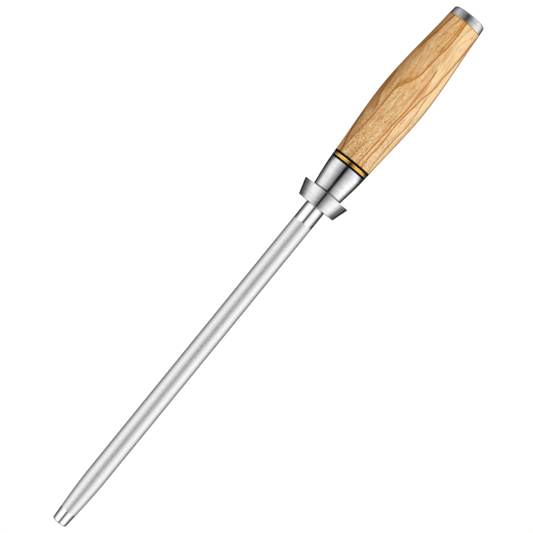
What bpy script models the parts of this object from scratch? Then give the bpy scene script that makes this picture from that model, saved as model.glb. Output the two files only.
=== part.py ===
"""Knife sharpening steel with a diamond-coated round rod and a turned wooden handle.

The rod's tang passes through the guard, the ferrule, the ring stack and the handle, and a nut in the
handle's end clamps them all against the rod's shoulder. A steel butt cap closes the nut's pocket.

Metres, +Z up. The steel stands on its butt cap: the origin is the centre of the cap's flat face, and
+Z runs along the axis towards the tip. Heights called Z_... are measured from that face.
"""

import math

import bmesh
import bpy
from mathutils import Matrix

# Clearances
FIT_GAP = 0.0003  # radial, between a piece and the bore it sits in
SEAT_GAP = 0.0003  # along the axis, between two faces that rest on each other

# Lengths that show from outside, in order from the butt to the tip
CAP_LENGTH = 0.0057
HANDLE_LENGTH = 0.1074
SPACER_LENGTH = 0.0013
BRASS_RING_LENGTH = 0.0023
FERRULE_LENGTH = 0.0201
GUARD_LENGTH = 0.0107
ROD_LENGTH = 0.2500

# Rod
ROD_RADIUS = 0.00667
COLLAR_LENGTH = 0.0126  # bare steel between the guard and the coating
TAPER_LENGTH = 0.0376
TIP_RADIUS = 0.0049
TIP_ROUND = 0.0009
TIP_BARE_LENGTH = 0.0094  # bare steel past the coating
TAPER_END_SLOPE = 1.35
COATING_THICKNESS = 0.0003

# Tang, hidden in the handle
SHOULDER_DEPTH = 0.0018  # how far the rod sinks into the guard
TANG_RADIUS = 0.0040
TANG_FLATS = 0.0062  # across the two flats that key the guard and the ferrule
KEYED_LENGTH = 0.0260
THREAD_RADIUS = 0.0030
THREAD_LENGTH = 0.0165
THREAD_PROUD = 0.0016  # how far the thread stands out of the nut
THREAD_CHAMFER = 0.0005

# Guard
GUARD_REAR_RADIUS = 0.0165
GUARD_FRONT_RADIUS = 0.0132
GUARD_CHAMFER = 0.0002

# Ferrule
FERRULE_REAR_RADIUS = 0.0126
FERRULE_FRONT_RADIUS = 0.01024
FERRULE_REAR_SLOPE = 0.43
FERRULE_FRONT_SLOPE = 1.06

# Handle
BELLY_RADIUS = 0.0158
BELLY_HEIGHT = 0.0593  # from the handle's rear end
HANDLE_REAR_RADIUS = 0.01167
HANDLE_FRONT_RADIUS = 0.01297
HANDLE_REAR_SLOPE = 0.83
HANDLE_FRONT_SLOPE = 0.86
TENON_RADIUS = 0.0088
TENON_DEPTH = 0.0110  # how far the handle's tenon goes into the ferrule
POCKET_RADIUS = 0.0084
POCKET_DEPTH = 0.0150

# Ring stack
GROOVE_DEPTH = 0.00015
GROOVE_WIDTH = 0.0005

# Locating pins between ferrule and tenon
PIN_RADIUS = 0.0010
PIN_LENGTH = 0.0080
PIN_IN_FERRULE = 0.0040
PIN_CIRCLE = 0.0062
PIN_COUNT = 2

# Fasteners in the pocket
WASHER_RADIUS = 0.0060
WASHER_THICKNESS = 0.0016
LOCK_WASHER_RADIUS = 0.0055
LOCK_WASHER_WIDTH = 0.0020
LOCK_WASHER_THICKNESS = 0.0014
LOCK_WASHER_LIFT = 0.0003
LOCK_WASHER_SLOT = math.radians(12)
NUT_ACROSS_FLATS = 0.0100
NUT_HEIGHT = 0.0050
NUT_CHAMFER = math.radians(30)

# Butt cap
CAP_FRONT_RADIUS = 0.0116
CAP_REAR_RADIUS = 0.0110
CAP_ROUND = 0.0013
CAP_FLOOR = 0.0026
SPIGOT_LENGTH = 0.0042
SPIGOT_WALL = 0.0026
SEAL_RADIUS = 0.00055

# Fineness of the round shapes
TURN_STEPS = 48
SMALL_TURN_STEPS = 32
PIN_SIDES = 16
SWELL_STEPS = 9
ROUND_STEPS = 3
SEAL_SIDES = 6

# Heights of the joints, from the butt face
Z_HANDLE = CAP_LENGTH
Z_REAR_SPACER = Z_HANDLE + HANDLE_LENGTH
Z_BRASS_RING = Z_REAR_SPACER + SPACER_LENGTH
Z_FRONT_SPACER = Z_BRASS_RING + BRASS_RING_LENGTH
Z_FERRULE = Z_FRONT_SPACER + SPACER_LENGTH
Z_GUARD = Z_FERRULE + FERRULE_LENGTH
Z_ROD = Z_GUARD + GUARD_LENGTH
Z_TIP = Z_ROD + ROD_LENGTH
Z_COATING = Z_ROD + COLLAR_LENGTH
Z_COATING_END = Z_TIP - TIP_BARE_LENGTH
Z_TAPER = Z_TIP - TAPER_LENGTH
Z_SHOULDER = Z_ROD - SHOULDER_DEPTH
Z_TENON_END = Z_FERRULE + TENON_DEPTH
Z_WEB = Z_TENON_END + SEAT_GAP
Z_POCKET_FLOOR = Z_HANDLE + POCKET_DEPTH
Z_WASHER = Z_POCKET_FLOOR - SEAT_GAP - WASHER_THICKNESS
Z_LOCK_WASHER = Z_WASHER - SEAT_GAP - LOCK_WASHER_THICKNESS - LOCK_WASHER_LIFT
Z_NUT = Z_LOCK_WASHER - SEAT_GAP - NUT_HEIGHT
Z_TANG_END = Z_NUT - THREAD_PROUD
Z_SPIGOT_END = Z_HANDLE + SPIGOT_LENGTH

BOOLEAN_REACH = 0.002  # how far a cutter runs past the faces it cuts


def clear_scene():
    for obj in list(bpy.data.objects):
        bpy.data.objects.remove(obj)


def make_material(name, colour, roughness, metallic):
    material = bpy.data.materials.new(name)
    material.use_nodes = True
    shader = material.node_tree.nodes["Principled BSDF"]
    shader.inputs["Base Color"].default_value = (*colour, 1)
    shader.inputs["Roughness"].default_value = roughness
    shader.inputs["Metallic"].default_value = metallic
    return material


def add_object(name, mesh, material=None):
    obj = bpy.data.objects.new(name, mesh)
    bpy.context.collection.objects.link(obj)
    if material:
        mesh.materials.append(material)
    return obj


def as_cutter(obj):
    obj.hide_render = True
    obj.display_type = "WIRE"
    return obj


def boolean(obj, other, operation="DIFFERENCE"):
    modifier = obj.modifiers.new(other.name, "BOOLEAN")
    modifier.operation = operation
    modifier.solver = "EXACT"
    modifier.object = other


def turned(name, outline, material=None, closed=False, steps=TURN_STEPS):
    """A lathe-turned piece: outline holds (radius, height) points, outer side running downwards."""
    mesh = bpy.data.meshes.new(name)
    points = [(radius, 0, height) for radius, height in outline]
    edges = [(i, i + 1) for i in range(len(points) - 1)]
    if closed:
        edges.append((len(points) - 1, 0))
    mesh.from_pydata(points, edges, [])
    obj = add_object(name, mesh, material)
    screw = obj.modifiers.new("Turn", "SCREW")
    screw.axis = "Z"
    screw.angle = math.tau
    screw.steps = steps
    screw.render_steps = steps
    screw.use_merge_vertices = True
    screw.merge_threshold = 0.00001
    return obj


def smooth(obj, angle=math.radians(30)):
    """Shades an object smooth between its sharp edges, on the mesh that its modifiers give."""
    graph = bpy.context.evaluated_depsgraph_get()
    mesh = bpy.data.meshes.new_from_object(obj.evaluated_get(graph))
    old = obj.data
    obj.modifiers.clear()
    obj.data = mesh
    bpy.data.meshes.remove(old)
    mesh.shade_smooth()
    mesh.set_sharp_from_angle(angle=angle)


def swell(share, start_slope, end_slope):
    """A smooth rise from 0 to 1, with a chosen steepness at each end."""
    square = share * share
    cube = square * share
    rise = 3 * square - 2 * cube
    return rise + start_slope * (cube - 2 * square + share) + end_slope * (cube - square)


def swelling(z_from, r_from, z_to, r_to, start_slope, end_slope, steps=SWELL_STEPS):
    """Outline points of a swelling from one height and radius to another, both ends included."""
    points = []
    for i in range(steps + 1):
        share = i / steps
        radius = r_from + (r_to - r_from) * swell(share, start_slope, end_slope)
        points.append((radius, z_from + (z_to - z_from) * share))
    return points


def rounded_corner(radius, height, size, quadrant):
    """Outline points of a quarter round; quadrant 0 is an outer top corner, 1 an outer bottom one."""
    centre_z = height - size if quadrant == 0 else height + size
    start = math.pi / 2 if quadrant == 0 else 0
    points = []
    for i in range(ROUND_STEPS + 1):
        angle = start - math.pi / 2 * i / ROUND_STEPS
        points.append((radius - size + size * math.cos(angle), centre_z + size * math.sin(angle)))
    return points


def rod_radius(height):
    """The finished radius of the rod, coating included, at a height past the guard."""
    if height <= Z_TAPER:
        return ROD_RADIUS
    share = (height - Z_TAPER) / TAPER_LENGTH
    return ROD_RADIUS - (ROD_RADIUS - TIP_RADIUS) * swell(share, 0, TAPER_END_SLOPE)


def rod_side(z_top, z_bottom, inset):
    """Outline points down the rod's side between two heights, a little inside its finished surface."""
    points = [(rod_radius(z_top) - inset, z_top)]
    for i in range(SWELL_STEPS - 1, -1, -1):
        height = Z_TAPER + TAPER_LENGTH * i / SWELL_STEPS
        if z_bottom < height < z_top:
            points.append((rod_radius(height) - inset, height))
    points.append((rod_radius(z_bottom) - inset, z_bottom))
    return points


def stack_radius(height):
    """The outer radius of the ring stack, in line between the handle and the ferrule."""
    share = (height - Z_REAR_SPACER) / (Z_FERRULE - Z_REAR_SPACER)
    return HANDLE_FRONT_RADIUS + (FERRULE_REAR_RADIUS - HANDLE_FRONT_RADIUS) * share


def make_prism(name, outline, z_bottom, z_top, material=None):
    """A straight-sided piece whose outline is a list of (x, y) points."""
    mesh = bpy.data.meshes.new(name)
    bm = bmesh.new()
    face = bm.faces.new([bm.verts.new((x, y, z_bottom)) for x, y in outline])
    grown = bmesh.ops.extrude_face_region(bm, geom=[face])
    top = [item for item in grown["geom"] if isinstance(item, bmesh.types.BMVert)]
    bmesh.ops.translate(bm, verts=top, vec=(0, 0, z_top - z_bottom))
    bmesh.ops.recalc_face_normals(bm, faces=bm.faces)
    bm.to_mesh(mesh)
    bm.free()
    return add_object(name, mesh, material)


def make_flats_cutters():
    """Two blocks that mill the flats on the tang."""
    half = TANG_FLATS / 2
    outer = TANG_RADIUS + BOOLEAN_REACH
    z_bottom = Z_SHOULDER - KEYED_LENGTH
    corners = ((half, -outer), (outer, -outer), (outer, outer), (half, outer))
    cutters = []
    for side, label in ((1, "right"), (-1, "left")):
        outline = [(side * x, y) for x, y in corners]
        cutter = make_prism(f"cut_tang_flat_{label}", outline, z_bottom, Z_SHOULDER)
        cutters.append(as_cutter(cutter))
    return cutters


def make_key_cutter():
    """The keyed bore of guard and ferrule: a circle with two flats, one clearance wider than the tang."""
    radius = TANG_RADIUS + FIT_GAP
    half = TANG_FLATS / 2 + FIT_GAP
    reach = math.acos(half / radius)
    arc_steps = TURN_STEPS // 4
    outline = []
    for side in (0, math.pi):
        for i in range(arc_steps + 1):
            angle = side + reach + (math.pi - 2 * reach) * i / arc_steps
            outline.append((radius * math.cos(angle), radius * math.sin(angle)))
    return as_cutter(make_prism("cut_keyed_bore", outline, Z_WEB - BOOLEAN_REACH, Z_ROD))


def make_cylinder(name, radius, z_bottom, z_top, x, y, material=None):
    mesh = bpy.data.meshes.new(name)
    bm = bmesh.new()
    bmesh.ops.create_cone(
        bm,
        cap_ends=True,
        segments=PIN_SIDES,
        radius1=radius,
        radius2=radius,
        depth=z_top - z_bottom,
        matrix=Matrix.Translation((x, y, (z_bottom + z_top) / 2)),
    )
    bm.to_mesh(mesh)
    bm.free()
    return add_object(name, mesh, material)


def pin_places():
    """Where the locating pins stand, on a circle round the tang, clear of its flats' edges."""
    places = []
    for i in range(PIN_COUNT):
        angle = math.tau * i / PIN_COUNT
        places.append((PIN_CIRCLE * math.cos(angle), PIN_CIRCLE * math.sin(angle)))
    return places


def make_pin_cutters():
    """Blind holes for the locating pins, half in the ferrule's web and half in the tenon."""
    z_top = Z_WEB + PIN_IN_FERRULE + SEAT_GAP
    z_bottom = Z_WEB + PIN_IN_FERRULE - PIN_LENGTH - SEAT_GAP
    cutters = []
    for i, (x, y) in enumerate(pin_places()):
        cutter = make_cylinder(f"cut_pin_hole_{i + 1}", PIN_RADIUS + FIT_GAP, z_bottom, z_top, x, y)
        cutters.append(as_cutter(cutter))
    return cutters


def make_rod(material):
    z_groove_top = Z_COATING_END + SEAT_GAP
    z_groove_bottom = Z_COATING - SEAT_GAP
    groove_inset = COATING_THICKNESS + FIT_GAP
    outline = [(0, Z_TIP)]
    outline += rounded_corner(TIP_RADIUS, Z_TIP, TIP_ROUND, 0)
    outline.append((rod_radius(z_groove_top), z_groove_top))
    outline += rod_side(z_groove_top, z_groove_bottom, groove_inset)
    outline += [(ROD_RADIUS, z_groove_bottom), (ROD_RADIUS, Z_SHOULDER), (TANG_RADIUS, Z_SHOULDER)]
    z_thread = Z_TANG_END + THREAD_LENGTH
    outline += [(TANG_RADIUS, z_thread + TANG_RADIUS - THREAD_RADIUS), (THREAD_RADIUS, z_thread)]
    outline += [(THREAD_RADIUS, Z_TANG_END + THREAD_CHAMFER), (THREAD_RADIUS - THREAD_CHAMFER, Z_TANG_END)]
    outline.append((0, Z_TANG_END))
    rod = turned("rod", outline, material)
    for cutter in make_flats_cutters():
        boolean(rod, cutter)
    return rod


def make_coating(material):
    outside = rod_side(Z_COATING_END, Z_COATING, 0)
    inside = rod_side(Z_COATING_END, Z_COATING, COATING_THICKNESS)
    return turned("diamond_coating", outside + inside[::-1], material, closed=True)


def make_guard(material, key_cutter):
    recess = ROD_RADIUS + FIT_GAP
    z_rear = Z_GUARD + SEAT_GAP
    z_floor = Z_SHOULDER - SEAT_GAP
    outline = [(0, z_floor), (recess, z_floor), (recess, Z_ROD), (GUARD_FRONT_RADIUS - GUARD_CHAMFER, Z_ROD)]
    outline += [(GUARD_FRONT_RADIUS, Z_ROD - GUARD_CHAMFER), (GUARD_REAR_RADIUS, z_rear + GUARD_CHAMFER)]
    outline += [(GUARD_REAR_RADIUS - GUARD_CHAMFER, z_rear), (0, z_rear)]
    guard = turned("guard", outline, material)
    boolean(guard, key_cutter)
    return guard


def make_ferrule(material, key_cutter, pin_cutters):
    socket = TENON_RADIUS + FIT_GAP
    z_rear = Z_FERRULE + SEAT_GAP
    outline = [(0, Z_GUARD)]
    outline += swelling(
        z_rear, FERRULE_REAR_RADIUS, Z_GUARD, FERRULE_FRONT_RADIUS, FERRULE_REAR_SLOPE, FERRULE_FRONT_SLOPE
    )[::-1]
    outline += [(socket, z_rear), (socket, Z_WEB), (0, Z_WEB)]
    ferrule = turned("ferrule", outline, material)
    boolean(ferrule, key_cutter)
    for cutter in pin_cutters:
        boolean(ferrule, cutter)
    return ferrule


def make_spacer(name, z_rear, material):
    bore = TENON_RADIUS + FIT_GAP
    bottom = z_rear + SEAT_GAP
    top = z_rear + SPACER_LENGTH
    outline = [(bore, top), (stack_radius(top), top), (stack_radius(bottom), bottom), (bore, bottom)]
    return turned(name, outline, material, closed=True)


def make_brass_ring(material):
    bore = TENON_RADIUS + FIT_GAP
    bottom = Z_BRASS_RING + SEAT_GAP
    top = Z_BRASS_RING + BRASS_RING_LENGTH
    middle = (top + bottom) / 2
    edges = (top, middle + GROOVE_WIDTH / 2, middle, middle - GROOVE_WIDTH / 2, bottom)
    depths = (0, 0, GROOVE_DEPTH, 0, 0)
    outline = [(stack_radius(z) - depth, z) for z, depth in zip(edges, depths)]
    return turned("brass_ring", [(bore, top)] + outline + [(bore, bottom)], material, closed=True)


def make_handle(material, pin_cutters):
    bore = TANG_RADIUS + FIT_GAP
    z_rear = Z_HANDLE + SEAT_GAP
    z_belly = Z_HANDLE + BELLY_HEIGHT
    outline = [(bore, Z_TENON_END), (TENON_RADIUS, Z_TENON_END), (TENON_RADIUS, Z_REAR_SPACER)]
    outline += swelling(
        z_belly, BELLY_RADIUS, Z_REAR_SPACER, HANDLE_FRONT_RADIUS, 0, HANDLE_FRONT_SLOPE
    )[::-1]
    outline += swelling(z_belly, BELLY_RADIUS, z_rear, HANDLE_REAR_RADIUS, 0, HANDLE_REAR_SLOPE)[1:]
    outline += [(POCKET_RADIUS, z_rear), (POCKET_RADIUS, Z_POCKET_FLOOR), (bore, Z_POCKET_FLOOR)]
    handle = turned("handle", outline, material, closed=True)
    for cutter in pin_cutters:
        boolean(handle, cutter)
    return handle


def make_pins(material):
    z_top = Z_WEB + PIN_IN_FERRULE
    pins = []
    for i, (x, y) in enumerate(pin_places()):
        name = f"locating_pin_{i + 1}"
        pins.append(make_cylinder(name, PIN_RADIUS, z_top - PIN_LENGTH, z_top, x, y, material))
    return pins


def make_tang_washer(material):
    bore = THREAD_RADIUS + FIT_GAP
    top = Z_WASHER + WASHER_THICKNESS
    outline = [(bore, top), (WASHER_RADIUS, top), (WASHER_RADIUS, Z_WASHER), (bore, Z_WASHER)]
    return turned("tang_washer", outline, material, closed=True, steps=SMALL_TURN_STEPS)


def make_lock_washer(material):
    """A split spring washer: a square-cornered section swept round a turn with a small lift."""
    mesh = bpy.data.meshes.new("lock_washer")
    bm = bmesh.new()
    inner = LOCK_WASHER_RADIUS - LOCK_WASHER_WIDTH
    corners = (
        (inner, Z_LOCK_WASHER),
        (LOCK_WASHER_RADIUS, Z_LOCK_WASHER),
        (LOCK_WASHER_RADIUS, Z_LOCK_WASHER + LOCK_WASHER_THICKNESS),
        (inner, Z_LOCK_WASHER + LOCK_WASHER_THICKNESS),
    )
    section = bm.faces.new([bm.verts.new((radius, 0, height)) for radius, height in corners])
    bmesh.ops.spin(
        bm,
        geom=[section, *section.edges, *section.verts],
        cent=(0, 0, 0),
        axis=(0, 0, 1),
        dvec=(0, 0, LOCK_WASHER_LIFT / SMALL_TURN_STEPS),
        angle=math.tau - LOCK_WASHER_SLOT,
        steps=SMALL_TURN_STEPS,
        use_merge=False,
    )
    bmesh.ops.recalc_face_normals(bm, faces=bm.faces)
    bm.to_mesh(mesh)
    bm.free()
    return add_object("lock_washer", mesh, material)


def make_tang_nut(material):
    """A hexagon prism, trimmed by a turned blank that gives its bore and its chamfered corners."""
    corner = NUT_ACROSS_FLATS / math.sqrt(3)
    flat = NUT_ACROSS_FLATS / 2
    hexagon = []
    for i in range(6):
        angle = math.tau * i / 6
        hexagon.append((corner * math.cos(angle), corner * math.sin(angle)))
    top = Z_NUT + NUT_HEIGHT
    nut = make_prism("tang_nut", hexagon, Z_NUT - BOOLEAN_REACH, top + BOOLEAN_REACH, material)
    bore = THREAD_RADIUS + FIT_GAP
    outer = corner + FIT_GAP
    slope = (outer - flat) * math.tan(NUT_CHAMFER)
    blank = [(bore, top), (flat, top), (outer, top - slope)]
    blank += [(outer, Z_NUT + slope), (flat, Z_NUT), (bore, Z_NUT)]
    blank_cutter = turned("cut_nut_blank", blank, closed=True, steps=SMALL_TURN_STEPS)
    boolean(nut, as_cutter(blank_cutter), "INTERSECT")
    return nut


def make_butt_cap(material):
    spigot = POCKET_RADIUS - FIT_GAP
    hollow = spigot - SPIGOT_WALL
    groove_half = SEAL_RADIUS + SEAT_GAP
    z_seal = Z_HANDLE + SPIGOT_LENGTH / 2
    groove = spigot - 2 * SEAL_RADIUS - FIT_GAP
    outline = [(0, CAP_FLOOR), (hollow, CAP_FLOOR), (hollow, Z_SPIGOT_END), (spigot, Z_SPIGOT_END)]
    outline += [(spigot, z_seal + groove_half), (groove, z_seal + groove_half)]
    outline += [(groove, z_seal - groove_half), (spigot, z_seal - groove_half)]
    outline += [(spigot, Z_HANDLE), (CAP_FRONT_RADIUS, Z_HANDLE)]
    outline += rounded_corner(CAP_REAR_RADIUS, 0, CAP_ROUND, 1)
    outline.append((0, 0))
    return turned("butt_cap", outline, material)


def make_cap_seal(material):
    """A round rubber ring in the spigot's groove."""
    z_seal = Z_HANDLE + SPIGOT_LENGTH / 2
    middle = POCKET_RADIUS - FIT_GAP - SEAL_RADIUS
    outline = []
    for i in range(SEAL_SIDES):
        angle = -math.tau * i / SEAL_SIDES
        outline.append((middle + SEAL_RADIUS * math.cos(angle), z_seal + SEAL_RADIUS * math.sin(angle)))
    return turned("cap_seal", outline, material, closed=True, steps=SMALL_TURN_STEPS)


def build():
    clear_scene()
    polished = make_material("polished_steel", (0.62, 0.63, 0.64), 0.18, 1.0)
    brushed = make_material("brushed_steel", (0.50, 0.51, 0.53), 0.32, 1.0)
    coating = make_material("diamond_grit", (0.66, 0.68, 0.67), 0.55, 0.6)
    brass = make_material("brass", (0.80, 0.55, 0.20), 0.25, 1.0)
    black = make_material("black_plastic", (0.01, 0.01, 0.01), 0.35, 0.0)
    wood = make_material("olive_wood", (0.72, 0.47, 0.22), 0.45, 0.0)
    zinc = make_material("zinc_plated_steel", (0.60, 0.60, 0.58), 0.40, 1.0)
    rubber = make_material("rubber", (0.02, 0.02, 0.02), 0.70, 0.0)

    key_cutter = make_key_cutter()
    pin_cutters = make_pin_cutters()
    pieces = [
        make_rod(polished),
        make_coating(coating),
        make_guard(polished, key_cutter),
        make_ferrule(polished, key_cutter, pin_cutters),
        make_spacer("front_spacer", Z_FRONT_SPACER, black),
        make_brass_ring(brass),
        make_spacer("rear_spacer", Z_REAR_SPACER, black),
        make_handle(wood, pin_cutters),
        *make_pins(zinc),
        make_tang_washer(zinc),
        make_lock_washer(zinc),
        make_tang_nut(zinc),
        make_butt_cap(brushed),
        make_cap_seal(rubber),
    ]
    for piece in pieces:
        smooth(piece)


build()
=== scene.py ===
import math

import bpy
from mathutils import Matrix, Vector


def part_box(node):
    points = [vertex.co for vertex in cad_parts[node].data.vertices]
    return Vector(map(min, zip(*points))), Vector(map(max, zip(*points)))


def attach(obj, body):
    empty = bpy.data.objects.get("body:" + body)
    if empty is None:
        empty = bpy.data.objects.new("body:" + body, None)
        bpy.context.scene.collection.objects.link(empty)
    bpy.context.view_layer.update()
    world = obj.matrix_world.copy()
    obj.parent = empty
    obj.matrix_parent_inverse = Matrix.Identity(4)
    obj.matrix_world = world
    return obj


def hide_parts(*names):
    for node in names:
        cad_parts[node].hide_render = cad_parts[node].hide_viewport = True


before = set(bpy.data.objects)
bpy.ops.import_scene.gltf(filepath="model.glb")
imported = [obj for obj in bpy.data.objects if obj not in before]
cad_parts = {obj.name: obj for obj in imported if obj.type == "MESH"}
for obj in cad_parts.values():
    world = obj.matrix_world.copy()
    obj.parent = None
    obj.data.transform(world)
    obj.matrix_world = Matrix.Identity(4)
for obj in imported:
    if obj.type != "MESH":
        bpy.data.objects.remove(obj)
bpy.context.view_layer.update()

seatGap = 0.0003  # what the frame keeps between two seated pieces
tau = math.tau


def tint(code):  # "e8c496" as linear red, green, blue
    parts = [int(code[i:i + 2], 16) / 255 for i in (0, 2, 4)]
    return tuple(c / 12.92 if c <= 0.04045 else ((c + 0.055) / 1.055) ** 2.4 for c in parts)


def foot(node):  # the height of a node's lower end
    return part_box(node)[0].z


def head(node):
    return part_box(node)[1].z


def halfWidth(node):
    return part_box(node)[1].x


# wraps a node's output, so that a sum written in Python adds the Math nodes for it
class Wire:
    def __init__(self, bench, socket):
        self.bench = bench
        self.socket = socket

    def calc(self, operation, *others):
        return self.bench.node("ShaderNodeMath", {"operation": operation}, dict(enumerate((self, *others))))

    def flipped(self, operation, other):
        return self.bench.node("ShaderNodeMath", {"operation": operation}, {0: other, 1: self})

    def __add__(self, other):
        return self.calc("ADD", other)

    def __radd__(self, other):
        return self.calc("ADD", other)

    def __sub__(self, other):
        return self.calc("SUBTRACT", other)

    def __rsub__(self, other):
        return self.flipped("SUBTRACT", other)

    def __mul__(self, other):
        return self.calc("MULTIPLY", other)

    def __rmul__(self, other):
        return self.calc("MULTIPLY", other)

    def __truediv__(self, other):
        return self.calc("DIVIDE", other)

    def __rtruediv__(self, other):
        return self.flipped("DIVIDE", other)

    def __abs__(self):
        return self.calc("ABSOLUTE")

    def __neg__(self):
        return self.calc("MULTIPLY", -1)

    def fade(self, low, high, start=0.0, end=1.0):  # goes smoothly from start at low to end at high
        inputs = {"Value": self, 1: low, 2: high, 3: start, 4: end}
        return self.bench.node("ShaderNodeMapRange", {"interpolation_type": "SMOOTHSTEP"}, inputs)


class Bench:
    def __init__(self, tree):
        self.tree = tree

    def node(self, kind, settings=None, inputs=None, out=0):  # out is an output's number or name
        made = self.tree.nodes.new(kind)
        for name, value in (settings or {}).items():
            if name == "stops":
                self.setStops(made.color_ramp, value)
            elif name == "curve":
                self.setCurve(made.mapping, value)
            else:
                setattr(made, name, value)
        for name, value in (inputs or {}).items():
            socket = made.inputs[name]
            if isinstance(value, Wire):
                self.tree.links.new(value.socket, socket)
            else:
                socket.default_value = value
        return Wire(self, made.outputs[out]) if made.outputs else made

    def setStops(self, ramp, stops):
        while len(ramp.elements) < len(stops):
            ramp.elements.new(1)
        for element, (place, colour) in zip(ramp.elements, stops):
            element.position = place
            element.color = (*colour, 1)

    def setCurve(self, mapping, points):
        line = mapping.curves[0]
        while len(line.points) < len(points):
            line.points.new(0.5, 0.5)
        for point, place in zip(line.points, points):
            point.location = place
        mapping.update()

    def split(self, vector):
        parts = self.tree.nodes.new("ShaderNodeSeparateXYZ")
        self.tree.links.new(vector.socket, parts.inputs[0])
        return [Wire(self, socket) for socket in parts.outputs]

    def join(self, x, y, z):
        return self.node("ShaderNodeCombineXYZ", None, {0: x, 1: y, 2: z})

    # a pattern holds its scale, how it is stretched in X, Y and Z, its detail and its roughness
    def noise(self, vector, pattern):
        scale, stretch, detail, roughness = pattern
        stretched = self.node("ShaderNodeMapping", None, {"Vector": vector, "Scale": stretch})
        inputs = {"Vector": stretched, "Scale": scale, "Detail": detail, "Roughness": roughness}
        return self.node("ShaderNodeTexNoise", None, inputs)

    def path(self, share, places):  # the side at each share along, from -1 to 1
        points = [(along, 0.5 + side / 2) for along, side in places]
        return self.node("ShaderNodeFloatCurve", {"curve": points}, {"Value": share}) * 2 - 1

    def blend(self, mask, first, second):  # colours, first where the mask is 0
        inputs = {0: mask, 6: self.asColour(first), 7: self.asColour(second)}
        return self.node("ShaderNodeMix", {"data_type": "RGBA"}, inputs, 2)

    def asColour(self, value):
        return value if isinstance(value, Wire) else (*value, 1)

    def bump(self, height, strength, distance):
        inputs = {"Height": height, "Strength": strength, "Distance": distance}
        return self.node("ShaderNodeBump", None, inputs)


def finish(name, steady, changing):  # a material from constant values and a function for what varies
    material = bpy.data.materials.new(name)
    material.use_nodes = True
    bench = Bench(material.node_tree)
    shader = material.node_tree.nodes["Principled BSDF"]
    for socket, value in steady.items():
        shader.inputs[socket].default_value = value
    place = bench.node("ShaderNodeTexCoord", None, None, "Object")
    for socket, wire in changing(bench, place).items():
        material.node_tree.links.new(wire.socket, shader.inputs[socket])
    return material


turnedSteel = {
    "colour": tint("e2e2e3"), "dusk": tint("d4d4d6"), "edge": (0.35, 0.35, 0.35, 1), "contrast": (0.38, 0.62),
    "roughness": 0.08, "spread": 0.02, "bump": 0.35, "lineHeight": 0.000006,
    "lines": (5200, (0.01, 0.01, 1), 2, 0.6), "bands": (1500, (0.02, 0.02, 1), 2, 0.6),
    "smear": (260, (1, 1, 0.5), 3, 0.6),
}

brushedSteel = {
    "colour": tint("e2e2e3"), "dusk": tint("bcbdbf"), "edge": (0.3, 0.3, 0.3, 1), "contrast": (0.38, 0.62),
    "roughness": 0.24, "spread": 0.10, "bump": 0.35, "lineHeight": 0.000012,
    "lines": (3600, (0.01, 0.01, 1), 2, 0.6), "bands": (1900, (0.02, 0.02, 1), 2, 0.6),
    "smear": (260, (1, 1, 0.5), 3, 0.6),
}


def steelFinish(name, style):
    def changing(bench, place):
        lines = bench.noise(place, style["lines"])
        bands = bench.noise(place, style["bands"])
        smear = bench.noise(place, style["smear"])
        cloud = (smear * 0.5 + bands * 0.5).fade(*style["contrast"])
        colour = bench.blend(cloud, style["colour"], style["dusk"])
        rough = style["roughness"] + (smear + lines - 1) * style["spread"]
        return {"Base Color": colour, "Roughness": rough,
                "Normal": bench.bump(lines, style["bump"], style["lineHeight"])}

    return finish(name, {"Metallic": 1.0, "Specular Tint": style["edge"]}, changing)


gritCoat = {
    # the hollow tint is a painted shade, a grey standing in for the shade in the grit's hollows
    "bond": tint("eceded"), "grain": tint("fdfdfd"), "hollow": tint("c3c6c4"), "edge": (0.02, 0.02, 0.02, 1),
    "grainScale": 4300, "grainFade": (0.25, 0.75), "hollowShadeFade": (0.55, 0.8, 0, 0.3),
    "clumps": (946, (1, 1, 1), 3, 0.65), "specks": (5590, (1, 1, 1), 2, 0.7),
    "roughness": 0.45, "spread": 0.16, "bump": 0.45, "grainHeight": 0.00003, "grainShare": 0.7,
    "clumpShare": 0.2,
}


def gritFinish(style):
    def changing(bench, place):
        grains = bench.node("ShaderNodeTexVoronoi", None, {"Vector": place, "Scale": style["grainScale"]})
        clumps = bench.noise(place, style["clumps"])
        specks = bench.noise(place, style["specks"])
        colour = bench.blend(grains.fade(*style["grainFade"]), style["grain"], style["bond"])
        # painted shade: greyer specks standing in for the shade in the grit's hollows
        colour = bench.blend(specks.fade(*style["hollowShadeFade"]), colour, style["hollow"])
        height = (1 - grains) * style["grainShare"] + clumps * style["clumpShare"]
        rough = style["roughness"] + (specks - 0.5) * style["spread"]
        return {"Base Color": colour, "Roughness": rough,
                "Normal": bench.bump(height, style["bump"], style["grainHeight"])}

    material = finish("diamondGrit", {"Metallic": 1.0, "Specular Tint": style["edge"]}, changing)
    material.node_tree.nodes["Principled BSDF"].distribution = "GGX"
    return material


polishedBrass = {
    "colour": tint("efc565"), "warm": tint("dca23c"), "warmFade": (0.35, 0.75),
    "roughness": 0.14, "spread": 0.08, "bump": 0.3, "lineHeight": 0.000006,
    "lines": (6000, (0.02, 0.02, 1), 2, 0.6), "cloud": (420, (1, 1, 1), 3, 0.6),
}


def brassFinish(style):
    def changing(bench, place):
        lines = bench.noise(place, style["lines"])
        cloud = bench.noise(place, style["cloud"])
        colour = bench.blend(cloud.fade(*style["warmFade"]), style["colour"], style["warm"])
        rough = style["roughness"] + (cloud - 0.5) * style["spread"]
        return {"Base Color": colour, "Roughness": rough,
                "Normal": bench.bump(lines, style["bump"], style["lineHeight"])}

    return finish("polishedBrass", {"Metallic": 1.0}, changing)


blackRing = {
    "colour": (0.002, 0.0018, 0.0018), "dusty": (0.0064, 0.00596, 0.00596), "roughness": 0.5,
}

sealRubber = {
    "colour": (0.012, 0.012, 0.012), "dusty": (0.0284, 0.0284, 0.0284), "roughness": 0.6,
}

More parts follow.
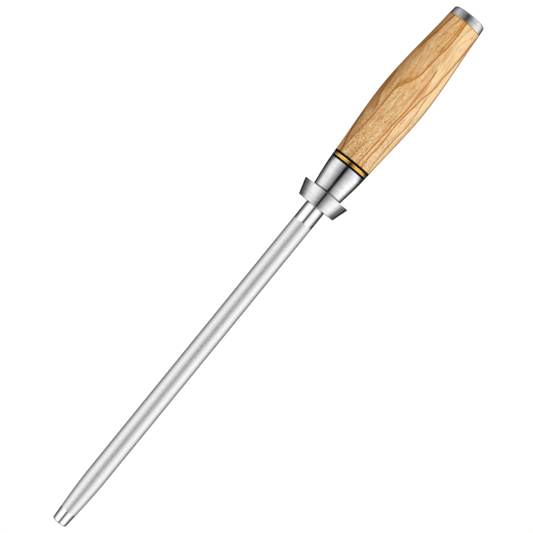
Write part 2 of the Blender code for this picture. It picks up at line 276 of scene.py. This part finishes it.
blackDust = {
    "pattern": (900, (1, 1, 1), 4, 0.65), "fade": (0.45, 0.8), "spread": 0.2, "bump": 0.2, "height": 0.00002,
    "shine": 0.05,
}


def blackFinish(name, style, dust=blackDust):
    def changing(bench, place):
        specks = bench.noise(place, dust["pattern"])
        colour = bench.blend(specks.fade(*dust["fade"]), style["colour"], style["dusty"])
        rough = style["roughness"] + (specks - 0.5) * dust["spread"]
        return {"Base Color": colour, "Roughness": rough,
                "Normal": bench.bump(specks, dust["bump"], dust["height"])}

    return finish(name, {"Specular IOR Level": dust["shine"]}, changing)


oiledOlive = {
    "cream": tint("fff0d2"), "pale": tint("fadba6"), "honey": tint("f1bf7c"), "brown": tint("c07822"),
    "orange": tint("b96c02"), "umber": tint("965606"), "pore": tint("8c5a26"),
    "roughness": 0.42, "spread": 0.15, "shine": 0.15, "oil": 0.05, "oilRoughness": 0.25,
    "bump": 0.25, "grainHeight": 0.00008,
    # patterns that run along the handle; streaks and hairs follow the bent grain
    "drift": (170, (1, 1, 0.1), 3, 0.55), "wander": (380, (1, 1, 0.3), 2, 0.5),
    "streaks": (640, (1, 0.6, 0.035), 3, 0.6), "hairs": (1700, (1, 0.6, 0.03), 2, 0.5),
    "pores": (1500, (1, 1, 0.5), 2, 0.6), "specks": (1750, (1, 1, 0.8), 2, 0.6),
    # where each shade sets in, and for some its lowest and highest strength
    "honeyFade": (-0.75, 0.3), "plusSideFade": (0.68, 0.97), "plusSideEnd": (1.0, 0.75), "plusSideDepth": 0.75,
    "streakFade": (0.5, 0.66, 0, 0.34), "hairFade": (0.53, 0.66, 0, 0.5),
    "paleHairFade": (0.46, 0.34, 0, 0.5),
    "paleSpeckFade": (0.47, 0.36), "paleSpeckDepth": 0.4, "speckFade": (0.54, 0.66), "speckDepth": 0.9,
    "poreFade": (0.56, 0.66), "poreDepth": 0.84,
    # the next line also places the painted edge shade along the handle's -X outline, on its front half
    "flankFade": (0.45, 0.7), "edgeShadeFade": (-0.91, -0.965), "edgeShadeFront": (0, 0.002, 1, 0),
    # a painted shadow line at the handle's joint with the cap
    "seamShadeFade": (0, 0.0006, 0.6, 0),
    "halfWidth": 0.016, "lean": 0.6, "lineWidth": 0.00058, "lineWander": 0.0008, "lineCore": 0.3,
    "lineShade": 0.28, "lineSpread": 5, "fadeOutside": 0.02, "fadeInside": 0.03,
    "flow": [(0, -0.33), (0.14, -0.22), (0.3, -0.28), (0.45, -0.35), (0.58, -0.36), (0.8, -0.26), (1, -0.19)],
    # grain lines by the share of the handle's length and how far across, from the belly's -X to its +X side
    "orangeLines": [
        {"path": [(0, -0.04), (0.06, -0.07), (0.16, -0.08), (0.25, 0.0), (0.32, 0.04), (0.38, 0.06),
                  (0.42, 0.14), (0.46, 0.27), (0.5, 0.42), (0.54, 0.5), (0.62, 0.5), (0.74, 0.51),
                  (0.85, 0.58), (0.93, 0.61), (1, 0.6)], "depth": 0.95},
        {"path": [(0, 0.06), (0.05, 0.03), (0.12, 0.02), (0.2, 0.06), (0.26, 0.06)], "until": 0.24,
         "depth": 0.7},
        {"path": [(0, 0.0), (0.06, -0.03), (0.14, -0.04), (0.2, -0.02)], "until": 0.2, "width": 2.0,
         "depth": 0.25},
        {"path": [(0.4, 0.12), (0.43, 0.26), (0.46, 0.38), (0.5, 0.47), (0.54, 0.52)], "from": 0.42,
         "until": 0.53, "width": 3.0, "depth": 0.6},
        {"path": [(0.42, 0.0), (0.47, -0.03), (0.5, -0.04)], "from": 0.44, "until": 0.49, "width": 2.6,
         "depth": 0.45},
        {"path": [(0.28, -0.28), (0.32, -0.3), (0.35, -0.33), (0.45, -0.35), (0.58, -0.36), (0.68, -0.31),
                  (0.8, -0.26), (0.91, -0.22), (1, -0.19)], "from": 0.3, "depth": 0.95},
        {"path": [(0, -0.33), (0.02, -0.3), (0.07, -0.25), (0.14, -0.22), (0.23, -0.25), (0.3, -0.28)],
         "until": 0.27, "depth": 0.35},
        {"path": [(0, -0.71), (0.09, -0.7), (0.21, -0.7), (0.31, -0.67), (0.42, -0.64), (0.48, -0.55),
                  (0.57, -0.47), (0.68, -0.41), (0.84, -0.42), (0.91, -0.39), (1, -0.38)], "depth": 0.9},
        {"path": [(0.42, -0.64), (0.48, -0.67), (0.56, -0.73), (0.65, -0.75), (0.8, -0.68), (0.88, -0.68),
                  (1, -0.71)], "from": 0.45, "depth": 0.7},
        {"path": [(0.45, -0.16), (0.52, -0.15), (0.6, -0.13)], "from": 0.46, "until": 0.6, "width": 2.2,
         "depth": 0.4},
    ],
    "umberLines": [
        {"path": [(0.73, 0.87), (0.8, 0.84), (0.85, 0.8), (0.91, 0.73), (0.96, 0.65), (1, 0.61)],
         "from": 0.72, "width": 1.2, "depth": 0.85},
        {"path": [(0.42, 0.9), (0.5, 0.88), (0.56, 0.85), (0.61, 0.78), (0.66, 0.66), (0.72, 0.6)],
         "from": 0.43, "until": 0.7, "width": 1.5, "depth": 0.65, "shade": 0.7, "spread": 6},
        {"path": [(0.2, 0.63), (0.29, 0.66), (0.4, 0.69), (0.5, 0.72), (0.59, 0.69)], "from": 0.22,
         "until": 0.58, "width": 1.4, "depth": 0.35},
        {"path": [(0, 0.51), (0.09, 0.59), (0.16, 0.67), (0.22, 0.73), (0.28, 0.77)], "until": 0.27,
         "depth": 0.9},
        {"path": [(0.85, 0.09), (0.9, 0.11), (0.94, 0.16), (0.99, 0.15)], "from": 0.87, "width": 1.6,
         "depth": 0.5},
    ],
    # the same for both flanks behind the widest place, by how far back
    "flankLines": [
        {"path": [(0, 0.12), (0.15, 0.1), (0.3, 0.16), (0.45, 0.3), (0.6, 0.36), (0.8, 0.34), (1, 0.3)],
         "depth": 0.6},
        {"path": [(0, 0.3), (0.2, 0.34), (0.35, 0.42), (0.5, 0.52), (0.7, 0.5), (0.85, 0.44), (1, 0.42)],
         "width": 1.4, "depth": 0.75},
        {"path": [(0, 0.5), (0.25, 0.52), (0.4, 0.62), (0.55, 0.72), (0.75, 0.66), (1, 0.58)], "width": 1.2,
         "depth": 0.5},
        {"path": [(0.5, 0.1), (0.6, 0.14), (0.75, 0.1), (0.9, 0.04), (1, 0.02)], "from": 0.55,
         "depth": 0.6},
    ],
}


def grainLine(bench, across, share, line, style):  # dark along its path, with a softer shade beyond it
    width = line.get("width", 1) * style["lineWidth"] / style["halfWidth"]
    off = across - bench.path(share, line["path"])
    shade = line.get("shade", style["lineShade"]) * line["depth"]
    reach = width * line.get("spread", style["lineSpread"])
    shadow = off.fade(0, reach, shade, 0) * off.calc("GREATER_THAN", 0)
    mask = abs(off).fade(width * style["lineCore"], width, line["depth"], 0).calc("MAXIMUM", shadow)
    if "from" in line:
        start = (line["from"] - style["fadeOutside"], line["from"] + style["fadeInside"])
        mask = mask * share.fade(*start)
    if "until" in line:
        end = (line["until"] - style["fadeInside"], line["until"] + style["fadeOutside"])
        mask = mask * share.fade(*end, 1, 0)
    return mask


def grainLines(bench, across, share, lines, style):  # the darkest of several grain lines
    dark, *others = [grainLine(bench, across, share, line, style) for line in lines]
    for mask in others:
        dark = dark.calc("MAXIMUM", mask)
    return dark


def woodFinish(style):
    low = foot("handle")
    length = head("rear_spacer") - low

    def changing(bench, place):
        x, y, z = bench.split(place)
        share = (z - low) / length
        drift = bench.noise(place, style["drift"])
        wander = bench.noise(place, style["wander"])
        bent = bench.join(x - bench.path(share, style["flow"]) * style["halfWidth"], y, z)
        streaks = bench.noise(bent, style["streaks"])
        hairs = bench.noise(bent, style["hairs"])
        pores = bench.noise(place, style["pores"])
        specks = bench.noise(place, style["specks"])
        behind = y.calc("MAXIMUM", 0) * style["lean"]  # lines lean towards -X behind the widest place
        across = (x + behind + (wander - 0.5) * style["lineWander"]) / style["halfWidth"]
        sideways = x / (x * x + y * y).calc("SQRT")  # from -1 on the -X side to 1 on the +X side

        ground = (across + (drift - 0.5) * 0.9).fade(*style["honeyFade"])
        colour = bench.blend(ground, style["pale"], style["honey"])
        # browner towards the +X outline, fading out towards the rings
        plusSideBrown = (sideways + (drift - 0.5) * 0.4).fade(*style["plusSideFade"]) * share.fade(*style["plusSideEnd"])
        colour = bench.blend(plusSideBrown * style["plusSideDepth"], colour, style["brown"])
        colour = bench.blend(streaks.fade(*style["streakFade"]), colour, style["orange"])
        colour = bench.blend(hairs.fade(*style["hairFade"]), colour, style["orange"])
        colour = bench.blend(hairs.fade(*style["paleHairFade"]) * (1 - plusSideBrown * 0.7), colour, style["cream"])

        # specks and pores are denser towards the rings and away from the -X side
        lively = (0.25 + across.fade(-0.45, 0.0) * 0.35 + share.fade(0.35, 0.9) * 0.65) * (0.5 + drift)
        paleSpecks = specks.fade(*style["paleSpeckFade"]) * lively * (style["paleSpeckDepth"] - plusSideBrown * 0.35)
        darkSpecks = specks.fade(*style["speckFade"]) * lively * style["speckDepth"]
        openPores = pores.fade(*style["poreFade"]) * lively * drift * style["poreDepth"]
        colour = bench.blend(paleSpecks, colour, style["cream"])
        colour = bench.blend(darkSpecks, colour, style["pore"])
        colour = bench.blend(openPores, colour, style["pore"])

        fresh = 0.85 + wander * 0.5  # the lines come and go along their length
        backwards = y / style["halfWidth"] + (wander - 0.5) * 0.08
        flank = abs(sideways).fade(*style["flankFade"]) * y.fade(-0.001, 0.001)
        warm = grainLines(bench, across, share, style["orangeLines"], style) * fresh
        dark = grainLines(bench, across, share, style["umberLines"], style) * fresh
        side = grainLines(bench, backwards, share, style["flankLines"], style) * fresh * flank
        # painted shade: an orange darkening along the handle's -X outline, on its front half, standing in for
        # a darker outline
        paintedEdgeShade = sideways.fade(*style["edgeShadeFade"]) * y.fade(*style["edgeShadeFront"]) * (0.3 + streaks * 0.8)
        colour = bench.blend(warm, colour, style["orange"])
        colour = bench.blend(dark, colour, style["umber"])
        colour = bench.blend(side, colour, style["umber"])
        colour = bench.blend(paintedEdgeShade, colour, style["orange"])
        # painted shadow: a thin umber line at the handle's joint with the cap
        colour = bench.blend((z - low).fade(*style["seamShadeFade"]), colour, style["umber"])
        rough = style["roughness"] + (streaks - 0.5) * style["spread"]
        height = streaks * 0.5 + pores * 0.5
        return {"Base Color": colour, "Roughness": rough,
                "Normal": bench.bump(height, style["bump"], style["grainHeight"])}

    steady = {"Coat Weight": style["oil"], "Coat Roughness": style["oilRoughness"],
              "Specular IOR Level": style["shine"]}
    return finish("oiledOlive", steady, changing)


latheStyle = {"sides": 160, "weld": 0.000001, "smoothAngle": 30, "brace": 0.00012}


def lathe():  # revolves the outline's points, which hold a radius in X and a height in Z
    tree = bpy.data.node_groups.new("lathe", "GeometryNodeTree")
    for name, kind in (("Outline", "Geometry"), ("Sides", "Int"), ("Weld", "Float"), ("Finish", "Material")):
        tree.interface.new_socket(name, in_out="INPUT", socket_type="NodeSocket" + kind)
    tree.interface.new_socket("Geometry", in_out="OUTPUT", socket_type="NodeSocketGeometry")
    bench = Bench(tree)
    entry = tree.nodes.new("NodeGroupInput")
    given = {socket.name: Wire(bench, socket) for socket in entry.outputs if socket.name}
    count = bench.node("GeometryNodeAttributeDomainSize", None, {"Geometry": given["Outline"]}, "Point Count")
    ring = given["Sides"] + 1
    sheet = bench.node("GeometryNodeMeshGrid", None, {"Vertices X": count, "Vertices Y": ring}, "Mesh")
    index = bench.node("GeometryNodeInputIndex")
    place = bench.node("GeometryNodeInputPosition")
    row = (index / ring).calc("FLOOR")
    angle = index.calc("FLOORED_MODULO", ring) / given["Sides"] * tau
    sampled = {"Geometry": given["Outline"], "Value": place, "Index": row}
    point = bench.split(bench.node("GeometryNodeSampleIndex", {"data_type": "FLOAT_VECTOR"}, sampled))
    radius, height = point[0], point[2]
    spot = bench.join(radius * angle.calc("COSINE"), radius * angle.calc("SINE"), height)
    shape = bench.node("GeometryNodeSetPosition", None, {"Geometry": sheet, "Position": spot})
    shape = bench.node("GeometryNodeMergeByDistance", None, {"Geometry": shape, "Distance": given["Weld"]})
    shape = bench.node("GeometryNodeRealizeInstances", None, {"Geometry": shape})
    shape = bench.node("GeometryNodeSetMaterial", None, {"Geometry": shape, "Material": given["Finish"]})
    result = tree.nodes.new("NodeGroupOutput")
    tree.links.new(shape.socket, result.inputs[0])
    return tree


latheTree = lathe()


def grown(name, mesh, tree, values):  # the plain mesh that a node tree makes from a mesh
    holder = bpy.data.objects.new(name, mesh)
    bpy.context.scene.collection.objects.link(holder)
    modifier = holder.modifiers.new("grow", "NODES")
    modifier.node_group = tree
    sockets = {item.name: item.identifier for item in tree.interface.items_tree if item.in_out == "INPUT"}
    for label, value in values.items():
        modifier[sockets[label]] = value
    graph = bpy.context.evaluated_depsgraph_get()
    made = bpy.data.meshes.new_from_object(holder.evaluated_get(graph))
    holder.modifiers.clear()
    holder.data = made
    bpy.data.meshes.remove(mesh)
    return holder


def braced(outline):  # extra points by the ends of long sides, which keep their shading even
    near = latheStyle["brace"]
    points = []
    for here, after in zip(outline, outline[1:]):
        here, after = Vector(here), Vector(after)
        reach = (after - here).length
        points.append(tuple(here))
        if reach > near * 6:
            points += [tuple(here.lerp(after, near / reach)), tuple(here.lerp(after, 1 - near / reach))]
    return points + [tuple(outline[-1])]


def turned(name, outline, material, node, sides=latheStyle["sides"]):
    mesh = bpy.data.meshes.new(name + "Outline")
    mesh.from_pydata([(radius, 0, height) for radius, height in braced(outline)], [], [])
    values = {"Sides": sides, "Weld": latheStyle["weld"], "Finish": material}
    piece = grown(name, mesh, latheTree, values)
    piece.data.shade_smooth()
    piece.data.set_sharp_from_angle(angle=math.radians(latheStyle["smoothAngle"]))
    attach(piece, "root")
    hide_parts(node)


def eased(corners, steps=5):  # an outline with each (radius, height, round) corner eased by an arc
    points = []
    last = len(corners) - 1
    for i, (radius, height, size) in enumerate(corners):
        here = Vector((radius, height))
        if size == 0 or i in (0, last):
            points.append((radius, height))
            continue
        before = (Vector(corners[i - 1][:2]) - here).normalized()
        after = (Vector(corners[i + 1][:2]) - here).normalized()
        half = before.angle(after) / 2
        reach = size / math.tan(half)
        centre = here + (before + after).normalized() * (size / math.sin(half))
        start = (here + before * reach - centre).normalized()
        end = (here + after * reach - centre).normalized()
        for k in range(steps + 1):
            points.append(tuple(centre + start.slerp(end, k / steps) * size))
    return points


def swell(share, start, end):  # rises from 0 to 1, with a steepness at each end
    square = share * share
    cube = square * share
    return 3 * square - 2 * cube + start * (cube - 2 * square + share) + end * (cube - square)


def swelling(start, end, slopes, steps):  # an outline from one (radius, height) to another
    points = []
    for i in range(steps + 1):
        share = i / steps
        radius = start[0] + (end[0] - start[0]) * swell(share, *slopes)
        points.append((radius, start[1] + (end[1] - start[1]) * share))
    return points


# how far the rings' joints stand from the CAD's
jointShift = {"rear_spacer": -0.00012, "brass_ring": 0.00022, "front_spacer": -0.00024}


def joint(node):  # where a piece meets the one below it
    return foot(node) - seatGap + jointShift.get(node, 0)


zHandle = joint("handle")
zRearSpacer = joint("rear_spacer")
zBrass = joint("brass_ring")
zFrontSpacer = joint("front_spacer")
zFerrule = joint("ferrule")
zGuard = joint("guard")
zRod = head("guard")
zCoat = foot("diamond_coating")
zCoatEnd = head("diamond_coating")
zTip = head("rod")

steel = steelFinish("turnedSteel", turnedSteel)
brushed = steelFinish("brushedSteel", brushedSteel)
grit = gritFinish(gritCoat)
brass = brassFinish(polishedBrass)
black = blackFinish("blackRing", blackRing)
rubber = blackFinish("sealRubber", sealRubber)
olive = woodFinish(oiledOlive)
print("finishes made")

rodStyle = {
    "radius": halfWidth("rod"), "tipRadius": 0.0049, "tipRound": 0.0009, "tipLength": 0.003,
    "taper": 0.0376, "tipSlope": 1.35, "coat": 0.00004, "coatWall": 0.00003, "sides": 96,
    "groove": 0.00028, "grooveTop": 0.00056, "grooveMiddle": 0.000224, "seat": 0.0018,
    "tang": 0.0040, "thread": 0.0030, "threadEnd": 0.0165, "shoulder": 0.0010, "chamfer": 0.0005,
    "tipSteps": 6, "taperSteps": 20, "coatSteps": 40,
}


def rodRadius(height):
    share = max(0, (height - zTip + rodStyle["taper"]) / rodStyle["taper"])
    narrowing = rodStyle["radius"] - rodStyle["tipRadius"]
    return rodStyle["radius"] - narrowing * swell(share, 0, rodStyle["tipSlope"])


def rodSide(zFrom, zTo, steps, inset=0):
    heights = [zFrom + (zTo - zFrom) * i / steps for i in range(steps + 1)]
    return [(rodRadius(height) - inset, height) for height in heights]


def makeRod(style):
    radius, tang, thread, chamfer = style["radius"], style["tang"], style["thread"], style["chamfer"]
    zStart = foot("rod")
    zThread = zStart + style["threadEnd"]
    zShoulder = zRod - style["seat"]
    zEdge = zTip - style["tipLength"]
    end = [(0, zTip, 0), (style["tipRadius"], zTip, style["tipRound"]), (rodRadius(zEdge), zEdge, 0)]
    points = eased(end, style["tipSteps"])
    points += rodSide(zEdge - chamfer, zCoatEnd, style["tipSteps"])
    points += rodSide(zCoatEnd, zTip - style["taper"], style["taperSteps"], style["coat"])
    points += [(radius - style["coat"], zCoat), (radius, zCoat), (radius, zRod + style["grooveTop"])]
    points += [(radius - style["groove"], zRod + style["grooveMiddle"]), (radius, zRod), (radius, zShoulder)]
    points += [(tang, zShoulder), (tang, zThread + style["shoulder"]), (thread, zThread)]
    points += [(thread, zStart + chamfer), (thread - chamfer, zStart), (0, zStart)]
    turned("steelRod", points, steel, "rod", style["sides"])


def makeCoat(style):
    zTaper = zTip - style["taper"]
    outside = rodSide(zCoatEnd, zTaper, style["taperSteps"]) + rodSide(zTaper, zCoat, style["coatSteps"])[1:]
    inside = [(radius - style["coatWall"], height) for radius, height in outside]
    points = outside + inside[::-1] + outside[:1]
    turned("diamondCoat", points, grit, "diamond_coating", style["sides"])


guardStyle = {
    "frontRadius": 0.0132, "rearRadius": halfWidth("guard"), "frontEdge": 0.00034, "rearEdge": 0.00018,
    "bore": 0.0043, "clearance": 0.00002,
}


def makeGuard(style):
    rodHole = rodStyle["radius"] + style["clearance"]
    zFloor = zRod - rodStyle["seat"]
    corners = [(style["bore"], zFloor, 0), (rodHole, zFloor, 0), (rodHole, zRod, 0)]
    corners += [(style["frontRadius"], zRod, style["frontEdge"])]
    corners += [(style["rearRadius"], zGuard, style["rearEdge"])]
    corners += [(style["bore"], zGuard, 0), (style["bore"], zFloor, 0)]
    turned("handGuard", eased(corners), steel, "guard")


ferruleStyle = {
    "frontRadius": 0.01024, "rearRadius": halfWidth("ferrule"), "slopes": (1.06, 0.43), "steps": 30,
    "socket": 0.0091, "web": 0.0113, "bore": 0.0043,
}


def makeFerrule(style):
    bore, socket = style["bore"], style["socket"]
    zWeb = zFerrule + style["web"]
    front, rear = (style["frontRadius"], zGuard), (style["rearRadius"], zFerrule)
    points = [(bore, zGuard)] + swelling(front, rear, style["slopes"], style["steps"])
    points += [(socket, zFerrule), (socket, zWeb), (bore, zWeb), (bore, zGuard)]
    turned("steelFerrule", points, steel, "ferrule")


handleStyle = {
    "belly": 0.0158, "bellyHeight": 0.0593, "frontRadius": 0.01297, "rearRadius": 0.01167,
    "frontSlopes": (0, 0.86), "rearSlopes": (0, 0.83), "frontSteps": 34, "rearSteps": 40,
    "tenon": 0.0088, "bore": 0.0043, "pocket": 0.0084, "pocketDepth": 0.015,
}


def makeHandle(style):
    bore, tenon, pocket = style["bore"], style["tenon"], style["pocket"]
    zFront = head("handle")
    zFloor = zHandle + style["pocketDepth"]
    belly = (style["belly"], zHandle + style["bellyHeight"])
    front = swelling(belly, (style["frontRadius"], zRearSpacer), style["frontSlopes"], style["frontSteps"])
    rear = swelling(belly, (style["rearRadius"], zHandle), style["rearSlopes"], style["rearSteps"])
    points = [(bore, zFront), (tenon, zFront), (tenon, zRearSpacer)]
    points += front[::-1] + rear[1:]
    points += [(pocket, zHandle), (pocket, zFloor), (bore, zFloor), (bore, zFront)]
    turned("turnedHandle", points, olive, "handle")


ringStyle = {"edge": 0.00006, "bore": handleStyle["tenon"] + 0.0001, "groove": 0.00018, "steps": 3}


def stackRadius(height):  # the rings carry on from the handle's end to the ferrule's
    share = (height - zRearSpacer) / (zFerrule - zRearSpacer)
    return handleStyle["frontRadius"] + (ferruleStyle["rearRadius"] - handleStyle["frontRadius"]) * share


def makeRing(name, low, high, material, node, groove=0.0, style=ringStyle):
    middle = (low + high) / 2
    corners = [(style["bore"], high, 0), (stackRadius(high), high, style["edge"])]
    if groove:
        corners += [(stackRadius(middle), middle + groove, 0), (stackRadius(middle) - groove, middle, 0)]
        corners += [(stackRadius(middle), middle - groove, 0)]
    corners += [(stackRadius(low), low, style["edge"]), (style["bore"], low, 0), (style["bore"], high, 0)]
    turned(name, eased(corners, style["steps"]), material, node)


capStyle = {
    "frontRadius": 0.0116, "frontEdge": 0.0001, "rearRadius": 0.0110, "rearEdge": 0.0013,
    "floor": 0.0026, "hollow": 0.0055, "spigot": 0.0081, "groove": 0.0067,
    "sealHeight": 0.0078, "sealHalf": 0.00085, "steps": 8,
}


def makeCap(style):
    floor, hollow, spigot, groove = style["floor"], style["hollow"], style["spigot"], style["groove"]
    zSpigot = head("butt_cap")
    zSealTop = style["sealHeight"] + style["sealHalf"]
    zSealFoot = style["sealHeight"] - style["sealHalf"]
    corners = [(0, floor, 0), (hollow, floor, 0), (hollow, zSpigot, 0), (spigot, zSpigot, 0)]
    corners += [(spigot, zSealTop, 0), (groove, zSealTop, 0), (groove, zSealFoot, 0), (spigot, zSealFoot, 0)]
    corners += [(spigot, zHandle, 0), (style["frontRadius"], zHandle, style["frontEdge"])]
    corners += [(style["rearRadius"], 0, style["rearEdge"]), (0, 0, 0)]
    turned("buttCap", eased(corners, style["steps"]), brushed, "butt_cap")


def refinish(node, material):  # for the pieces inside, which keep their CAD shape
    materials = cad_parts[node].data.materials
    materials.clear()
    materials.append(material)


makeRod(rodStyle)
makeCoat(rodStyle)
makeGuard(guardStyle)
makeFerrule(ferruleStyle)
makeHandle(handleStyle)
makeRing("frontSpacer", zFrontSpacer, zFerrule, black, "front_spacer")
makeRing("brassRing", zBrass, zFrontSpacer, brass, "brass_ring", ringStyle["groove"])
makeRing("rearSpacer", zRearSpacer, zBrass, black, "rear_spacer")
makeCap(capStyle)
print("turned pieces made")

for node in ("locating_pin_1", "locating_pin_2", "tang_washer", "lock_washer", "tang_nut"):
    refinish(node, brushed)
refinish("cap_seal", rubber)
print("inside pieces finished")

studio = {
    "white": 1.02, "peak": 1.6, "softPeak": 2.0, "overhead": 0.8,
    # where each set of bands starts or ends, with 0 for level and 1 for straight overhead
    "loweredEnd": (-0.25, -0.12), "raisedStart": (0.02, 0.07), "raisedEnd": (0.23, 0.3),
    "highStart": (0.4, 0.5), "overheadStart": (0.8, 0.95),
    # brightness by degrees round the steel from the camera's side, towards -X and then towards +X
    "level": ([(0, 0.03), (3.5, 0.05), (7, 0.3), (10, 0.5), (14, 0.76), (20, 1.02), (30, 1.26), (40, 1.4),
               (55, 1.47), (75, 1.36), (90, 0.88), (105, 0.36), (122, 0.1), (140, 0.03), (160, 0.03),
               (180, 0.7)],
              [(3.5, 0.05), (7, 0.32), (10, 0.58), (14, 0.88), (20, 1.18), (30, 1.47), (40, 1.58), (55, 1.6),
               (70, 1.44), (90, 0.82), (105, 0.38), (122, 0.13), (140, 0.04), (160, 0.03), (180, 0.7)]),
    "raised": ([(0, 0.01), (4, 0.03), (7, 0.11), (10, 0.21), (14, 0.34), (20, 0.46), (30, 0.65), (40, 0.83),
                (55, 1.12), (75, 1.36), (100, 1.36), (112, 0.72), (125, 0.27), (140, 0.06), (160, 0.04),
                (180, 0.7)],
               [(4, 0.005), (7, 0.01), (10, 0.05), (14, 0.2), (20, 0.33), (30, 0.48), (40, 0.7), (55, 1.05),
                (70, 1.14), (90, 1.08), (102, 0.78), (115, 0.34), (140, 0.07), (160, 0.04), (180, 0.7)]),
    "high": ([(0, 0.01), (4, 0.04), (7, 0.22), (10, 0.3), (14, 0.33), (20, 0.44), (30, 0.7), (40, 0.96),
              (55, 1.2), (75, 1.22), (90, 0.8), (105, 0.38), (122, 0.2), (140, 0.07), (160, 0.04),
              (180, 0.7)],
             [(4, 0.04), (7, 0.22), (10, 0.31), (14, 0.36), (20, 0.54), (30, 0.82), (40, 1.04), (55, 1.16),
              (70, 1.0), (85, 0.6), (100, 0.36), (122, 0.27), (140, 0.07), (160, 0.04), (180, 0.7)]),
    "lowered": ([(0, 0.18), (10, 0.32), (20, 0.46), (30, 0.7), (50, 0.92), (70, 1.2), (85, 1.38), (100, 1.3),
                 (115, 0.95), (130, 0.45), (145, 0.1), (160, 0.05), (180, 0.7)],
                [(4, 0.12), (8, 0.05), (14, 0.02), (20, 0.03), (28, 0.18), (40, 0.34), (60, 0.52), (85, 0.78),
                 (105, 0.6), (125, 0.3), (145, 0.06), (160, 0.05), (180, 0.7)]),
    # the light on matt surfaces, in the same way
    "soft": ([(0, 0.54), (45, 0.62), (90, 0.54), (135, 0.345), (180, 0.18)],
             [(45, 0.39), (90, 0.22), (135, 0.12), (180, 0.18)]),
}


def bandStops(sides, peak):
    minusSide, plusSide = sides
    shares = [(0.5 - degrees / 360, value) for degrees, value in minusSide[::-1]]
    shares += [(0.5 + degrees / 360, value) for degrees, value in plusSide]
    return [(share, (value / peak,) * 3) for share, value in shares]


def makeWorld(style):
    world = bpy.data.worlds.new("studio")
    bpy.context.scene.world = world
    world.use_nodes = True
    world.node_tree.nodes.clear()
    bench = Bench(world.node_tree)
    x, y, z = bench.split(bench.node("ShaderNodeTexCoord", None, None, "Generated"))
    turn = x.calc("ARCTAN2", -y) / tau + 0.5

    def bands(name, peak=style["peak"]):
        return bench.node("ShaderNodeValToRGB", {"stops": bandStops(style[name], peak)}, {"Fac": turn})

    raised = z.fade(*style["raisedStart"]) * z.fade(*style["raisedEnd"], 1, 0)
    sharp = bench.blend(raised, bands("level"), bands("raised"))
    sharp = bench.blend(z.fade(*style["highStart"]), sharp, bands("high"))
    sharp = bench.blend(z.fade(*style["loweredEnd"], 1, 0), sharp, bands("lowered"))
    sharp = bench.blend(z.fade(*style["overheadStart"]), sharp, (style["overhead"] / style["peak"],) * 3)

    def lit(colour, strength):
        return bench.node("ShaderNodeBackground", None, {"Color": colour, "Strength": strength})

    matt = bench.node("ShaderNodeLightPath", None, None, "Is Diffuse Ray")
    seen = bench.node("ShaderNodeLightPath", None, None, "Is Camera Ray")
    lights = {0: matt, 1: lit(sharp, style["peak"]), 2: lit(bands("soft", 1), style["softPeak"])}
    both = bench.node("ShaderNodeMixShader", None, lights)
    both = bench.node("ShaderNodeMixShader", None, {0: seen, 1: both, 2: lit((1, 1, 1, 1), style["white"])})
    bench.node("ShaderNodeOutputWorld", None, {"Surface": both})


paleFloor = {
    "half": 6.0, "colour": (0.35, 0.35, 0.35, 1), "glow": (1, 1, 1, 1), "glowStrength": 0.9,
    "specks": (30, (1, 1, 1), 2, 0.5), "roughness": 0.85, "spread": 0.1,
}


def makeFloor(style):
    half = style["half"]
    corners = [(-half, -half, 0), (half, -half, 0), (half, half, 0), (-half, half, 0)]
    mesh = bpy.data.meshes.new("floor")
    mesh.from_pydata(corners, [], [(0, 1, 2, 3)])
    floor = bpy.data.objects.new("floor", mesh)
    bpy.context.scene.collection.objects.link(floor)

    def changing(bench, place):
        return {"Roughness": style["roughness"] + bench.noise(place, style["specks"]) * style["spread"]}

    steady = {"Base Color": style["colour"], "Emission Color": style["glow"],
              "Emission Strength": style["glowStrength"], "Specular IOR Level": 0.0}
    mesh.materials.append(finish("paleFloor", steady, changing))
    floor.visible_glossy = False
    floor.visible_diffuse = False


view = {
    "lens": 110.5, "sensor": 36, "reach": 50, "distance": 1.0014, "height": 0.1636, "aside": 0.0003,
    "pitch": 1.85, "roll": 219.15,
}


def makeCamera(style):
    data = bpy.data.cameras.new("camera")
    data.lens = style["lens"]
    data.sensor_width = style["sensor"]
    data.clip_end = style["reach"]
    camera = bpy.data.objects.new("camera", data)
    bpy.context.scene.collection.objects.link(camera)
    bpy.context.scene.camera = camera
    pitch = math.radians(style["pitch"])
    forward = Vector((0, math.cos(pitch), math.sin(pitch)))
    upright = Vector((0, -math.sin(pitch), math.cos(pitch)))
    side = forward.cross(upright)
    roll = math.radians(style["roll"])
    right = side * math.cos(roll) + upright * math.sin(roll)
    up = upright * math.cos(roll) - side * math.sin(roll)
    turn = Matrix((right, up, -forward)).transposed()
    place = (style["aside"], -style["distance"], style["height"])
    camera.matrix_world = Matrix.Translation(place) @ turn.to_4x4()


makeWorld(studio)
makeFloor(paleFloor)
makeCamera(view)
bpy.context.scene.view_settings.view_transform = "Standard"
print("studio made")
